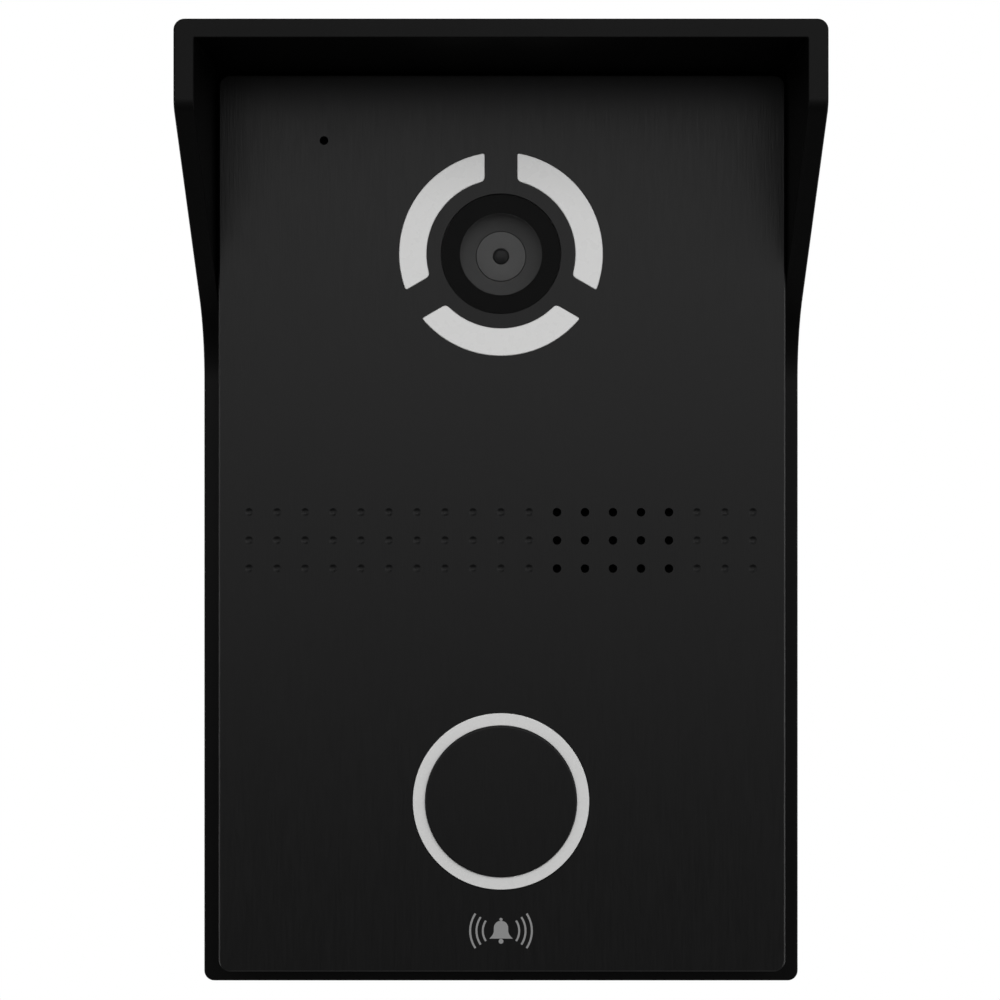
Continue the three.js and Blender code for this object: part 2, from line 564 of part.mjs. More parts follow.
const COMPONENT_FOOT = MAIN_BOARD_FRONT + TIGHT_FIT;
add('main_board', mainBoard(), 'board');
add('processor', block([-22, 8], 16, 16, COMPONENT_FOOT, COMPONENT_FOOT + 1.4), 'chip');
add('memory_chip', block([-22, -9], 10, 12, COMPONENT_FOOT, COMPONENT_FOOT + 1.2), 'chip');
add('network_transformer', block([-27, -24], 16, 12, COMPONENT_FOOT, COMPONENT_FOOT + 6), 'chip');
add('power_transformer', block([32, 40], 14, 14, COMPONENT_FOOT, COMPONENT_FOOT + 9), 'chip');
add('capacitor', disc([33, -32], 4, COMPONENT_FOOT, COMPONENT_FOOT + 11, COARSE), 'blackSteel');
add('relay', block([-31, 34], 15.5, 19, COMPONENT_FOOT, COMPONENT_FOOT + 11), 'terminal');
add('terminal_block', terminalBlock(), 'terminal');
const cameraLead = [[23.8, 33.5], [24.2, 31], [22.6, 28.6], [21.1, 26.4], [21.1, 22]];
const buttonLead = [[26.0, -30], [25.2, -27.6], [22.8, -26.6], [21.2, -25.4], [21.1, -21]];
add('camera_ribbon', ribbon(cameraLead, 0, 8), 'ribbon');
add('button_ribbon', ribbon(buttonLead, 0, 8), 'ribbon');
fourCorners(BOARD_SCREW_AT).forEach((at, i) => add(`board_screw_${i + 1}`, boardScrew(at), 'steel'));

export default station;
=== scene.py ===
# %% [markdown]
# # A video door station in its rain hood
# The station is a flat box of electronics behind a brushed black faceplate, hung in a one-piece hood that
# keeps rain off its camera. The frame that is loaded first has every part at its true size and place, and
# stays fixed. The pieces that show are then made again here with finer edges, and every part gets a finish.

# %% Load the frame
import json
import math

import bmesh
import bpy
import numpy as np
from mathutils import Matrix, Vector
from mathutils.geometry import tessellate_polygon


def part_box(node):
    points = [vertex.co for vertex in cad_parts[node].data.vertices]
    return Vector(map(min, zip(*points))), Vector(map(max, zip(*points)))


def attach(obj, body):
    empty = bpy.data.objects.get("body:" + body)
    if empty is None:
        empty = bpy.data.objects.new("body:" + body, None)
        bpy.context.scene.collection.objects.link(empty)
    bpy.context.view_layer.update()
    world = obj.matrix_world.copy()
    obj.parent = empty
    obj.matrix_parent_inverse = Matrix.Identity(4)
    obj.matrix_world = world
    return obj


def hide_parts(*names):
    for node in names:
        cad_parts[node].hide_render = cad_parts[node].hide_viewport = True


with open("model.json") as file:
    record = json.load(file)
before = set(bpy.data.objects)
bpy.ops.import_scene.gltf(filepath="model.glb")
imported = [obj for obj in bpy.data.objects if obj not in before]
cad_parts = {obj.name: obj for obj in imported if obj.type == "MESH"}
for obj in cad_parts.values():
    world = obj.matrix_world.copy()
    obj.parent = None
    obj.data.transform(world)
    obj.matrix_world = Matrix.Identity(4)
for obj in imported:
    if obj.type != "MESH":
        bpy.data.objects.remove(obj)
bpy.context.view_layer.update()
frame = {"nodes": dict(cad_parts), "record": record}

scene = bpy.context.scene

# %% [markdown]
# Blender works in metres, but the parts are easier to read in millimetres. A place on the station is given
# as x to the right, z up, and a depth: how far it stands out from the wall. The wall is the plane where the
# depth is 0, and because the front looks along -Y, a depth d is the world coordinate y = -d.

# %% Millimetres and depths
MM = 0.001


def depths(node):
    """The nearest and furthest distance of a frame part from the wall, in millimetres."""
    low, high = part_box(node)
    return -high.y / MM, -low.y / MM


def middle(node):
    """The centre of a frame part seen from the front, as x and z in millimetres."""
    low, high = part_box(node)
    return np.array([low.x + high.x, low.z + high.z]) / 2 / MM


def half_width(node):
    """Half of a frame part's width, which is the outer radius of a round one."""
    low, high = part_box(node)
    return (high.x - low.x) / 2 / MM


PLATE_THICK = 3.0
plate_front = depths("faceplate")[1]
plate_back = plate_front - PLATE_THICK
camera = middle("camera_window")
button = middle("button_cap")
print("faceplate front at", round(plate_front, 2), "mm from the wall")

# %% [markdown]
# Almost every part here is either turned, like the lens, or cut from a flat outline, like the faceplate. Both
# come down to a grid of points: rows along a profile and columns round a loop. Numpy can work out a whole
# grid at once, and the faces follow from the row and column numbers, so no point is placed by hand.

# %% Grids and loops
def grid_faces(rows, columns, start=0):
    """Faces of a grid that is closed round its columns: point (i, j) is start + i * columns + j."""
    i, j = np.meshgrid(np.arange(rows - 1), np.arange(columns), indexing="ij")
    following = (j + 1) % columns
    corners = [i * columns + j, i * columns + following, (i + 1) * columns + following, (i + 1) * columns + j]
    return (np.stack(corners, axis=-1).reshape(-1, 4) + start).tolist()


def arc(centre, radius, start, end, steps):
    """Points on a circle: centre + radius * (cos a, sin a), with a going from start to end degrees."""
    a = np.radians(np.linspace(start, end, steps + 1))
    return np.asarray(centre) + radius * np.column_stack([np.cos(a), np.sin(a)])


def circle(centre, radius, sides=96):
    """A closed loop of points round a circle, anticlockwise."""
    return arc(centre, radius, 0, 360, sides)[:-1]


def rounded_rectangle(width, height, radius, steps=8, centre=(0, 0)):
    """A closed loop of four quarter circles, joined by the straight sides between them."""
    x, z = width / 2 - radius, height / 2 - radius
    corners = [(x, z), (-x, z), (-x, -z), (x, -z)]
    quarters = [arc(c, radius, 90 * i, 90 * (i + 1), steps) for i, c in enumerate(corners)]
    return np.vstack(quarters) + np.asarray(centre)


def spread(loop, amount):
    """Moves each side of an anticlockwise loop outwards by amount, so corners move along their bisector.

    With the outward normals m and n of the two sides that meet at a point, it moves by
    amount * (m + n) / (1 + m . n).
    """
    side = np.roll(loop, -1, axis=0) - loop
    side /= np.linalg.norm(side, axis=1, keepdims=True)
    n = np.column_stack([side[:, 1], -side[:, 0]])
    m = np.roll(n, 1, axis=0)
    return loop + amount * (m + n) / (1 + (m * n).sum(axis=1, keepdims=True))


def eased(profile, radius, steps=4, closed=False):
    """Rounds each corner B with the curve (1-t)^2 A + 2t(1-t) B + t^2 C.

    A and C lie on the two sides that meet at B, radius away from it.
    """
    corner = np.asarray(profile, float)
    curves = []
    for neighbour in (np.roll(corner, 1, axis=0), np.roll(corner, -1, axis=0)):
        away = neighbour - corner
        length = np.linalg.norm(away, axis=1, keepdims=True)
        curves.append(corner + away / length * np.minimum(radius, 0.45 * length))
    a, b, c = curves[0][:, None], corner[:, None], curves[1][:, None]
    t = np.linspace(0, 1, steps + 1)[None, :, None]
    rounded = (1 - t) ** 2 * a + 2 * t * (1 - t) * b + t ** 2 * c
    if closed:
        return rounded.reshape(-1, 2)
    return np.vstack([corner[:1], rounded[1:-1].reshape(-1, 2), corner[-1:]])


# %% [markdown]
# One function puts a finished set of points into the scene. It welds the seams, turns the faces outwards and
# marks as sharp every edge where two faces meet at more than a set angle, so that a chamfer catches light as
# a crisp line while a round stays smooth. A large flat face beside a small round should stay flat to the eye,
# so the Weighted Normal modifier lets each face count by its area where their shading meets. Last, the
# function hangs the piece on the body it rides on and hides the frame parts that it replaces.

# %% Put a piece in the scene
CRISP, WELD = 32, 1e-7


def keep_flats_flat(piece):
    """Adds the modifier that weighs the shading at each corner by the area of the faces round it."""
    weighing = piece.modifiers.new("flats", "WEIGHTED_NORMAL")
    weighing.mode, weighing.weight, weighing.keep_sharp = "FACE_AREA", 100, True


def add_piece(name, points, faces, finish, slot, body="panel", replaces=(), crisp=CRISP):
    """Makes an object from rows of x, z and depth in millimetres, and prints what it made."""
    x, z, depth = np.asarray(points, float).T
    mesh = bpy.data.meshes.new(name)
    mesh.from_pydata(np.column_stack([x, -depth, z]) * MM, [], faces)
    shell = bmesh.new()
    shell.from_mesh(mesh)
    bmesh.ops.remove_doubles(shell, verts=shell.verts, dist=WELD)
    bmesh.ops.dissolve_degenerate(shell, edges=shell.edges, dist=WELD)
    bmesh.ops.recalc_face_normals(shell, faces=shell.faces)
    loose = sum(not edge.is_manifold for edge in shell.edges)
    shell.to_mesh(mesh)
    shell.free()
    mesh.shade_smooth()
    mesh.set_sharp_from_angle(angle=math.radians(crisp))
    mesh.materials.append(finish)
    piece = bpy.data.objects.new(name, mesh)
    scene.collection.objects.link(piece)
    keep_flats_flat(piece)
    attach(piece, body)
    if replaces:
        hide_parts(*replaces)
    print(f"{name}: {len(mesh.polygons)} faces, {loose} open edges")
    return piece


def turned(centre, profile, sides=128):
    """A profile of radius and depth turned round an axis that leaves the wall at centre.

    x = centre x + radius cos a, z = centre z + radius sin a, with the depth unchanged.
    """
    radius, depth = np.asarray(profile, float).T
    a = np.linspace(0, 2 * np.pi, sides, endpoint=False)
    x = centre[0] + np.outer(radius, np.cos(a))
    z = centre[1] + np.outer(radius, np.sin(a))
    points = np.stack([x, z, np.repeat(depth[:, None], sides, axis=1)], axis=-1).reshape(-1, 3)
    return points, grid_faces(len(radius), sides)


def upright(centre_depth, profile, sides=96, shape=None):
    """A profile of radius and height turned round an upright axis, at x = 0 and centre_depth from the wall.

    shape, if given, is a factor for each row and angle, so that a row may be a hexagon instead of a circle.
    """
    radius, height = np.asarray(profile, float).T
    a = np.linspace(0, 2 * np.pi, sides, endpoint=False)
    spokes = np.repeat(radius[:, None], sides, axis=1) * (1 if shape is None else shape(a))
    heights = np.repeat(height[:, None], sides, axis=1)
    points = np.stack([spokes * np.cos(a), heights, centre_depth + spokes * np.sin(a)], axis=-1)
    return points.reshape(-1, 3), grid_faces(len(radius), sides)


def together(*shapes):
    """Several lists of points and faces as one, with each shape's face numbers moved past the last one's."""
    points, faces, count = [], [], 0
    for shape_points, shape_faces in shapes:
        points.append(np.asarray(shape_points, float))
        faces += [[corner + count for corner in face] for face in shape_faces]
        count += len(shape_points)
    return np.vstack(points), faces


def ring_section(corners, ease):
    """A closed section with rounded corners, its first point repeated at the end, ready to be turned."""
    section = eased(corners, ease, closed=True)
    return np.vstack([section, section[:1]])


def washer_profile(inner, outer, back, front, ease=0.1):
    """The section of a plain ring between two radii and two depths."""
    return ring_section([(inner, back), (outer, back), (outer, front), (inner, front)], ease)


# %% [markdown]
# The faceplate, the light windows and the hood's back are flat plates with holes. Each edge of such a plate,
# outside or round a hole, is a loop carried down a short profile: a small chamfer, the wall, and a chamfer
# again. The two flat sides are then filled between the loops. A blind hole is a shallow dimple with a floor.

# %% A plate with holes
def filled(rows):
    """Triangles over the flat side between several rows, each given as its first number and its points."""
    index = np.concatenate([np.arange(first, first + len(row)) for first, row in rows])
    fill = tessellate_polygon([[Vector((p[0], p[1], 0)) for p in row] for _, row in rows])
    return [[int(index[corner]) for corner in triangle] for triangle in fill]


def pierced_plate(outline, holes, back, front, edge, ease=0.0):
    """Points and faces of a plate between two depths. holes are pairs of a loop and a floor depth or None.

    Each loop gives rows of points, each row the loop spread by an offset and placed at a depth. edge is the
    chamfer of the outline, and ease that of the holes.
    """
    rims = [(outline, [(-edge, front), (0, front - edge), (0, back + edge), (-edge, back)])]
    for loop, floor in holes:
        through = [(ease, front), (0, front - ease), (0, back + ease), (ease, back)]
        dimple = floor and [(0, front), (-0.2, floor + 0.12), (-0.4, floor + 0.01), (-0.48, floor)]
        rims.append((loop, dimple or through))
    floors = [False] + [floor is not None for _, floor in holes]
    points, faces, front_rows, back_rows = [], [], [], []
    count = 0
    for (loop, profile), blind in zip(rims, floors):
        sides = len(loop)
        rows = [np.column_stack([spread(loop, offset), np.full(sides, depth)]) for offset, depth in profile]
        points += rows
        faces += grid_faces(len(rows), sides, count)
        front_rows.append((count, rows[0]))
        last = count + (len(rows) - 1) * sides
        if blind:
            faces.append(list(range(last, last + sides)))
        else:
            back_rows.append((last, rows[-1]))
        count += len(rows) * sides
    return np.vstack(points), faces + filled(front_rows) + filled(back_rows)


# %% [markdown]
# ## Finishes
# Each finish is a Principled shader with a pattern on top, read from Object coordinates so that it has the
# same real size on every piece. The pattern is a noise that nudges the colour, the roughness and, very
# slightly, the surface. What differs from one finish to another is the size and the stretch of that noise.

# %% A patterned finish
def patterned(name, colour, roughness, metallic=0.0, size_mm=0.4, stretch=(1, 1, 1), tint=0.15, rough_by=0.06,
              relief_mm=0.0, **sockets):
    """A material whose noise has features size_mm wide, times stretch along x, y and z."""
    made = bpy.data.materials.new(name)
    made.use_nodes = True
    nodes, links = made.node_tree.nodes, made.node_tree.links
    shader = nodes["Principled BSDF"]
    shader.inputs["Metallic"].default_value = metallic
    for socket, value in sockets.items():
        shader.inputs[socket.replace("_", " ")].default_value = value
    where = nodes.new("ShaderNodeTexCoord")
    mapping = nodes.new("ShaderNodeMapping")
    mapping.inputs["Scale"].default_value = [1 / s for s in stretch]
    noise = nodes.new("ShaderNodeTexNoise")
    noise.inputs["Scale"].default_value = 1 / (size_mm * MM)
    noise.inputs["Detail"].default_value = 3.0
    links.new(where.outputs["Object"], mapping.inputs["Vector"])
    links.new(mapping.outputs["Vector"], noise.inputs["Vector"])
    shade = nodes.new("ShaderNodeMix")
    shade.data_type = "RGBA"
    low, high = [[c * (1 + way * tint) for c in colour] + [1] for way in (-1, 1)]
    shade.inputs["A"].default_value = low
    shade.inputs["B"].default_value = high
    links.new(noise.outputs["Fac"], shade.inputs["Factor"])
    links.new(shade.outputs["Result"], shader.inputs["Base Color"])
    rough = nodes.new("ShaderNodeMapRange")
    rough.inputs["From Min"].default_value = 0.3
    rough.inputs["From Max"].default_value = 0.7
    rough.inputs["To Min"].default_value = roughness - rough_by
    rough.inputs["To Max"].default_value = roughness + rough_by
    links.new(noise.outputs["Fac"], rough.inputs["Value"])
    links.new(rough.outputs["Result"], shader.inputs["Roughness"])
    if relief_mm:
        bump = nodes.new("ShaderNodeBump")
        bump.inputs["Distance"].default_value = relief_mm * MM
        bump.inputs["Strength"].default_value = 1.0
        links.new(noise.outputs["Fac"], bump.inputs["Height"])
        links.new(bump.outputs["Normal"], shader.inputs["Normal"])
    return made


# %% [markdown]
# The finishes of the station. Brushed aluminium keeps the fine upright lines of the belt it was ground on,
# even after it is anodised black, so its noise is stretched sixteen times along z. The hood is a satin
# moulding with the fine texture of a spark-eroded mould. The white windows are an opal plastic.

# %% The station's finishes
finishes = {
    "black_anodised_aluminium": patterned(
        "brushed_black_anodise", (0.0042, 0.0042, 0.0043), 0.37, size_mm=0.3, stretch=(1, 1, 16),
        tint=0.2, rough_by=0.03, relief_mm=0.021, Specular_IOR_Level=0.19),
    "hood_finish": patterned(
        "hood_satin_black", (0.0018, 0.0018, 0.0018), 0.44, size_mm=0.25, tint=0.2, rough_by=0.04,
        relief_mm=0.003, Specular_IOR_Level=0.09),
    "black_moulded_plastic": patterned(
        "housing_moulded_black", (0.012, 0.012, 0.0125), 0.55, size_mm=0.3, relief_mm=0.012),
    "dark_silicone": patterned(
        "silicone_dark", (0.018, 0.018, 0.019), 0.75, size_mm=1.5, tint=0.25, relief_mm=0.01),
    "white_diffuser": patterned(
        "opal_window", (0.73, 0.73, 0.725), 0.28, size_mm=2.5, tint=0.015, rough_by=0.03),
    "window_glass": patterned(
        "window_glass", (0.01, 0.01, 0.011), 0.04, size_mm=6, tint=0.1, rough_by=0.01),
    "lens_black": patterned(
        "lens_matt_black", (0.012, 0.012, 0.0125), 0.55, size_mm=0.2, relief_mm=0.004,
        Specular_IOR_Level=0.3),
    "lens_glass": patterned(
        "lens_coated_glass", (0.006, 0.0062, 0.0068), 0.36, size_mm=4, tint=0.1, rough_by=0.02,
        Specular_IOR_Level=0.13),
    "circuit_board": patterned(
        "board_solder_mask", (0.016, 0.09, 0.045), 0.38, size_mm=1.2, tint=0.3, relief_mm=0.02),
    "chip_black": patterned(
        "chip_moulded_black", (0.02, 0.02, 0.022), 0.5, size_mm=0.15, relief_mm=0.01),
    "led_lens": patterned("led_phosphor", (0.75, 0.68, 0.35), 0.3, size_mm=0.5, tint=0.08),
    "bright_steel": patterned(
        "zinc_plated_steel", (0.55, 0.56, 0.58), 0.3, metallic=1.0, size_mm=0.6, tint=0.12,
        relief_mm=0.003),
    "black_steel": patterned(
        "black_oxide_steel", (0.035, 0.035, 0.037), 0.38, metallic=0.6, size_mm=0.5, tint=0.3,
        relief_mm=0.004),
    "speaker_paper": patterned(
        "speaker_paper", (0.03, 0.03, 0.031), 0.85, size_mm=0.5, tint=0.35, relief_mm=0.03),
    "acoustic_foam": patterned(
        "acoustic_foam", (0.004, 0.004, 0.004), 0.95, size_mm=0.5, tint=0.5, relief_mm=0.1,
        Specular_IOR_Level=0.1),
    "terminal_green": patterned(
        "terminal_moulding", (0.02, 0.16, 0.06), 0.42, size_mm=0.4, relief_mm=0.008),
    "flat_ribbon": patterned(
        "flat_ribbon", (0.62, 0.58, 0.47), 0.4, size_mm=0.5, stretch=(1, 20, 20), tint=0.12),
}
border_ink = patterned("black_border_ink", (0.0015, 0.0015, 0.0015), 0.6, size_mm=0.2, tint=0.1,
                       relief_mm=0.001, Specular_IOR_Level=0.018)
ink = patterned("grey_ink", (0.27, 0.27, 0.27), 0.55, size_mm=0.1, tint=0.06, relief_mm=0.002)
slot_of = {part["node"]: part["material_slot"] for part in frame["record"]["subparts"]}
for name, part in frame["nodes"].items():
    part.data.materials.clear()
    part.data.materials.append(finishes[slot_of[name]])
print("finishes for", len(frame["nodes"]), "frame parts")

# %% [markdown]
# ## The rain hood
# The hood is one moulding: a tray that the station hangs in, with walls that run forward at the top. Seen
# from the side the wall has a low rim, a round sweep, a 45 degree cheek and a blunt nose below the roof.
# Here the wall is one strip carried all the way round the tray. At each place round the loop it climbs from
# the back edge up the outside, over the rim and down the inside, as far out as the cheek line says.

# %% The cheek line
hood_low, hood_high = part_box("hood_bracket")
hood_width = (hood_high.x - hood_low.x) / MM
hood_height = (hood_high.z - hood_low.z) / MM
hood_front = depths("hood_bracket")[1]
SIDE_WALL, ROOF_WALL, BACK_WALL = 3.3, 3.1, 3.0
HOOD_CORNER, INNER_CORNER = 1.8, 0.3
RIM_DEPTH = 30.4
CHEEK_TOP = 67.6
SWEEP, NOSE = 20.0, 3.0
EDGE, CHAMFER = 0.4, 0.12
foot = CHEEK_TOP - (hood_front - RIM_DEPTH)
half_turn = math.tan(math.pi / 8)
sweep_start = foot - SWEEP * half_turn
nose_end = CHEEK_TOP + NOSE * half_turn


def cheek_depth(z):
    """How far the wall stands out at height z.

    It is the rim up to sweep_start, then a circle of radius SWEEP that curves away from it, then the
    45 degree line RIM_DEPTH + (z - foot), then a circle of radius NOSE that meets the front edge.
    """
    z = np.asarray(z, float)
    sweep = RIM_DEPTH + SWEEP - np.sqrt(np.maximum(SWEEP ** 2 - (z - sweep_start) ** 2, 0))
    nose = hood_front - NOSE + np.sqrt(np.maximum(NOSE ** 2 - (nose_end - z) ** 2, 0))
    regions = [z <= sweep_start, z <= sweep_start + SWEEP * math.sin(math.pi / 4),
               z <= nose_end - NOSE * math.sin(math.pi / 4), z <= nose_end]
    return np.select(regions, [RIM_DEPTH, sweep, RIM_DEPTH + z - foot, nose], hood_front)


print("rim", cheek_depth(0), "mid cheek", cheek_depth(50), "front", cheek_depth(80))

# %% [markdown]
# The loop has the same number of stations outside and inside. Its straight sides need many stations only
# where the cheek bends, so their heights are packed there. Across the wall, the profile is a share from
# outer to inner and a drop below the rim: a small round outside and a crisp chamfer inside.

# %% The wall strip
def side_heights():
    """Heights along a side, from bottom to top, close together over the sweep and the nose."""
    foot_height, cheek_heights, top_heights = -74, [50, 60], [72, 76]
    low = np.linspace(foot_height, sweep_start - 2, 12)
    sweep = np.linspace(sweep_start, sweep_start + SWEEP * math.sin(math.pi / 4), 22)
    nose = np.linspace(nose_end - NOSE * math.sin(math.pi / 4), nose_end, 10)
    return np.concatenate([low, sweep, cheek_heights, nose, top_heights])


def wall_loop(width, height, radius):
    """The stations of a rounded rectangle, anticlockwise from the right side's foot, and their heights."""
    x, z = width / 2 - radius, height / 2 - radius
    side = side_heights()
    across = np.linspace(0.9, -0.9, 13)[:, None] * [x, 0]
    right = np.column_stack([np.full(len(side), width / 2), side])
    parts = [right, arc((x, z), radius, 0, 90, 8), across + [0, height / 2], arc((-x, z), radius, 90, 180, 8),
             right[::-1] * [-1, 1], arc((-x, -z), radius, 180, 270, 8), -across - [0, height / 2],
             arc((x, -z), radius, 270, 360, 8)]
    return np.vstack(parts)


outer_loop = wall_loop(hood_width, hood_height, HOOD_CORNER)
inner_loop = wall_loop(hood_width - 2 * SIDE_WALL, hood_height - 2 * ROOF_WALL, INNER_CORNER)
reach = cheek_depth(inner_loop[:, 1])
quarter = np.linspace(0, np.pi / 2, 5)
round_edge = [(EDGE / SIDE_WALL * (1 - math.cos(q)), EDGE * (1 - math.sin(q))) for q in quarter]
over_rim = round_edge + [(1 - CHAMFER / SIDE_WALL, 0.0), (1.0, CHAMFER)]
strip = [(outer_loop + (inner_loop - outer_loop) * EDGE / SIDE_WALL, np.zeros(len(reach))),
         (outer_loop, np.full(len(reach), EDGE))]
strip += [(outer_loop, BACK_WALL + (reach - BACK_WALL) * share) for share in (0.25, 0.5, 0.75)]
strip += [(outer_loop + (inner_loop - outer_loop) * share, reach - drop) for share, drop in over_rim]
strip += [(inner_loop, BACK_WALL + (reach - BACK_WALL) * share) for share in (0.75, 0.5, 0.25, 0.0)]
strip_points = np.vstack([np.column_stack([loop, depth]) for loop, depth in strip])
print("wall strip", len(strip), "rows of", len(outer_loop), "stations")

# %% [markdown]
# The tray's floor has four upright screw slots and the round cable entry. Those are the loops of the pierced
# plate again, here filled straight onto the first and last rows of the wall strip, so the hood stays one
# closed shell.

# %% The hood
def slot_loop(centre, width, height):
    """An upright slot: a rectangle whose ends are half circles."""
    return rounded_rectangle(width, height, width / 2 - 1e-3, 12, centre)


SLOT_X, SLOT_Z, SLOT_WIDTH, SLOT_HEIGHT = 30, 55, 4.5, 9.0
ENTRY_RADIUS, HOLE_EASE = 11.0, 0.3
cable_entry = middle("cable_grommet")
slot_places = [(x, z) for x in (-SLOT_X, SLOT_X) for z in (-SLOT_Z, SLOT_Z)]
back_holes = [slot_loop(place, SLOT_WIDTH, SLOT_HEIGHT) for place in slot_places]
back_holes.append(circle(cable_entry, ENTRY_RADIUS))
hood_points, hood_faces = [strip_points], grid_faces(len(strip), len(outer_loop))
count = len(strip_points)
wall_side, tray_side = [(0, strip[0][0])], [(count - len(outer_loop), strip[-1][0])]
hole_profile = [(HOLE_EASE, 0.0), (0, HOLE_EASE), (0, BACK_WALL - HOLE_EASE), (HOLE_EASE, BACK_WALL)]
for loop in back_holes:
    sides = len(loop)
    rows = [np.column_stack([spread(loop, grow), np.full(sides, depth)]) for grow, depth in hole_profile]
    hood_points += rows
    hood_faces += grid_faces(len(rows), sides, count)
    wall_side.append((count, rows[0]))
    count += len(rows) * sides
    tray_side.append((count - sides, rows[-1]))
hood_shell = (np.vstack(hood_points), hood_faces + filled(wall_side) + filled(tray_side))
print("hood shell", count, "points")

# %% [markdown]
# Two small hooks stand up from the tray's floor near the top and hold the station's housing. A hook is one
# side outline drawn out sideways: two rows of the same points, closed at both ends.

# %% Hooks
def side_block(outline, x_from, x_to):
    """An outline of depth and height drawn out along x, with both ends filled."""
    depth, height = np.asarray(outline, float).T
    rows = [np.column_stack([np.full(len(depth), x), height, depth]) for x in (x_from, x_to)]
    sides = len(depth)
    return np.vstack(rows), grid_faces(2, sides) + [list(range(sides)), list(range(sides, 2 * sides))]


HOOK_X, HOOK_HALF, HOOK_Z = 25.0, 5.0, 68.0
HOOK_ROOT, HOOK_INSIDE, HOOK_END = 2.0, 8.9, 10.4
under, over, lip = HOOK_Z - 0.5, HOOK_Z + 1.5, HOOK_Z + 2.3
hook_outline = eased([(HOOK_ROOT, under), (HOOK_END, under), (HOOK_END, lip), (HOOK_INSIDE, lip),
                      (HOOK_INSIDE, over), (HOOK_ROOT, over)], 0.25, closed=True)
hooks = [side_block(hook_outline, side * HOOK_X - HOOK_HALF, side * HOOK_X + HOOK_HALF)
         for side in (-1, 1)]
hood = add_piece("rain_hood", *together(hood_shell, *hooks), finishes["hood_finish"], "hood_finish",
                 replaces=["hood_bracket"])

# %% [markdown]
# One screw comes up through the bottom wall and locks the station in. Its hole crosses the wall strip's own
# rows, so it is easier to cut afterwards. The Boolean modifier takes a turned cutter away from the hood, and
# the result is kept as the hood's mesh, so that nothing live is left on the piece.

# %% Screw hole in the bottom wall
screw_low, screw_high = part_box("security_screw")
screw_depth = -(screw_low.y + screw_high.y) / 2 / MM
bottom = hood_low.z / MM
HEAD_HOLE, SHANK_HOLE, HEAD_SEAT, MOUTH_EASE = 3.2, 1.9, 1.6, 0.15
mouth_radius = HEAD_HOLE + MOUTH_EASE
cutter_points, cutter_faces = upright(screw_depth, [
    (0, bottom - 1), (mouth_radius, bottom - 1), (mouth_radius, bottom), (HEAD_HOLE, bottom + MOUTH_EASE),
    (HEAD_HOLE, bottom + HEAD_SEAT), (SHANK_HOLE, bottom + HEAD_SEAT), (SHANK_HOLE, bottom + 5),
    (0, bottom + 5)])
cutter = add_piece("hole_cutter", cutter_points, cutter_faces, finishes["hood_finish"], "hood_finish")
drill = hood.modifiers.new("screw_hole", "BOOLEAN")
drill.operation, drill.solver, drill.object = "DIFFERENCE", "EXACT", cutter
drilled = bpy.data.meshes.new_from_object(hood.evaluated_get(bpy.context.evaluated_depsgraph_get()))
hood.modifiers.clear()
hood.data = drilled
drilled.set_sharp_from_angle(angle=math.radians(CRISP))
keep_flats_flat(hood)
bpy.data.objects.remove(cutter)
print("hood after drilling:", len(drilled.polygons), "faces")

# %% [markdown]
# The screw has a hexagon socket, which a turned shape can have too: where the socket's rows are, the radius
# is multiplied by the shape of a hexagon, cos 30 / cos(a - 30) within each sixth of a turn.

# %% Security screw and cable grommet
def hexagon(a):
    """The distance to a hexagon's edge in the direction a, as a share of its corner's distance."""
    return math.cos(math.pi / 6) / np.cos(a % (math.pi / 3) - math.pi / 6)


SOCKET_RADIUS, SOCKET_DEPTH, HEAD_RADIUS, HEAD_HEIGHT, SCREW_LENGTH = 1.35, 0.75, 2.9, 1.25, 10
THREAD_PITCH, THREAD_ROOT, THREAD_CREST = 0.8, 1.2, 1.48
head = bottom + MOUTH_EASE
socket_rows = [(0, head + SOCKET_DEPTH), (SOCKET_RADIUS, head + SOCKET_DEPTH),
               (SOCKET_RADIUS, head + 0.08), (SOCKET_RADIUS + 0.1, head)]
screw_rows = socket_rows + [(HEAD_RADIUS - 0.25, head), (HEAD_RADIUS, head + 0.25),
                            (HEAD_RADIUS, head + HEAD_HEIGHT), (1.5, head + HEAD_HEIGHT)]
for turn in range(10):
    z = head + HEAD_SEAT + turn * THREAD_PITCH
    crest = [(THREAD_CREST, z + THREAD_PITCH * share) for share in (0.4, 0.5)]
    screw_rows += [(THREAD_ROOT, z)] + crest
screw_rows += [(THREAD_ROOT, bottom + SCREW_LENGTH - 0.1), (0, bottom + SCREW_LENGTH)]
in_socket = np.array([row < len(socket_rows) for row in range(len(screw_rows))])[:, None]
screw_points, screw_faces = upright(screw_depth, screw_rows,
                                    shape=lambda a: np.where(in_socket, hexagon(a)[None, :], 1.0))
add_piece("bottom_lock_screw", screw_points, screw_faces, finishes["black_steel"], "black_steel",
          replaces=["security_screw"])

seal_back, seal_front = depths("cable_grommet")
groove_floor = seal_back + 0.35
ribs, RIB_RADII = [], (6.4, 7.7, 9.0)
for r in RIB_RADII:
    ribs += [(r, seal_back), (r + 0.15, groove_floor), (r + 0.55, groove_floor), (r + 0.7, seal_back)]
CABLE_RADIUS, GROMMET_NECK, GROMMET_FLANGE = 5.0, 10.7, 12.4
flange_back, flange_front = BACK_WALL + 0.2, BACK_WALL + 1.4
grommet_section = ring_section([(CABLE_RADIUS, seal_back)] + ribs + [
    (GROMMET_NECK, seal_back), (GROMMET_NECK, flange_back), (GROMMET_FLANGE, flange_back),
    (GROMMET_FLANGE, flange_front), (CABLE_RADIUS + 1.2, seal_front), (CABLE_RADIUS, seal_front)], 0.15)
add_piece("ribbed_grommet", *turned(cable_entry, grommet_section), finishes["dark_silicone"],
          "dark_silicone", replaces=["cable_grommet"])

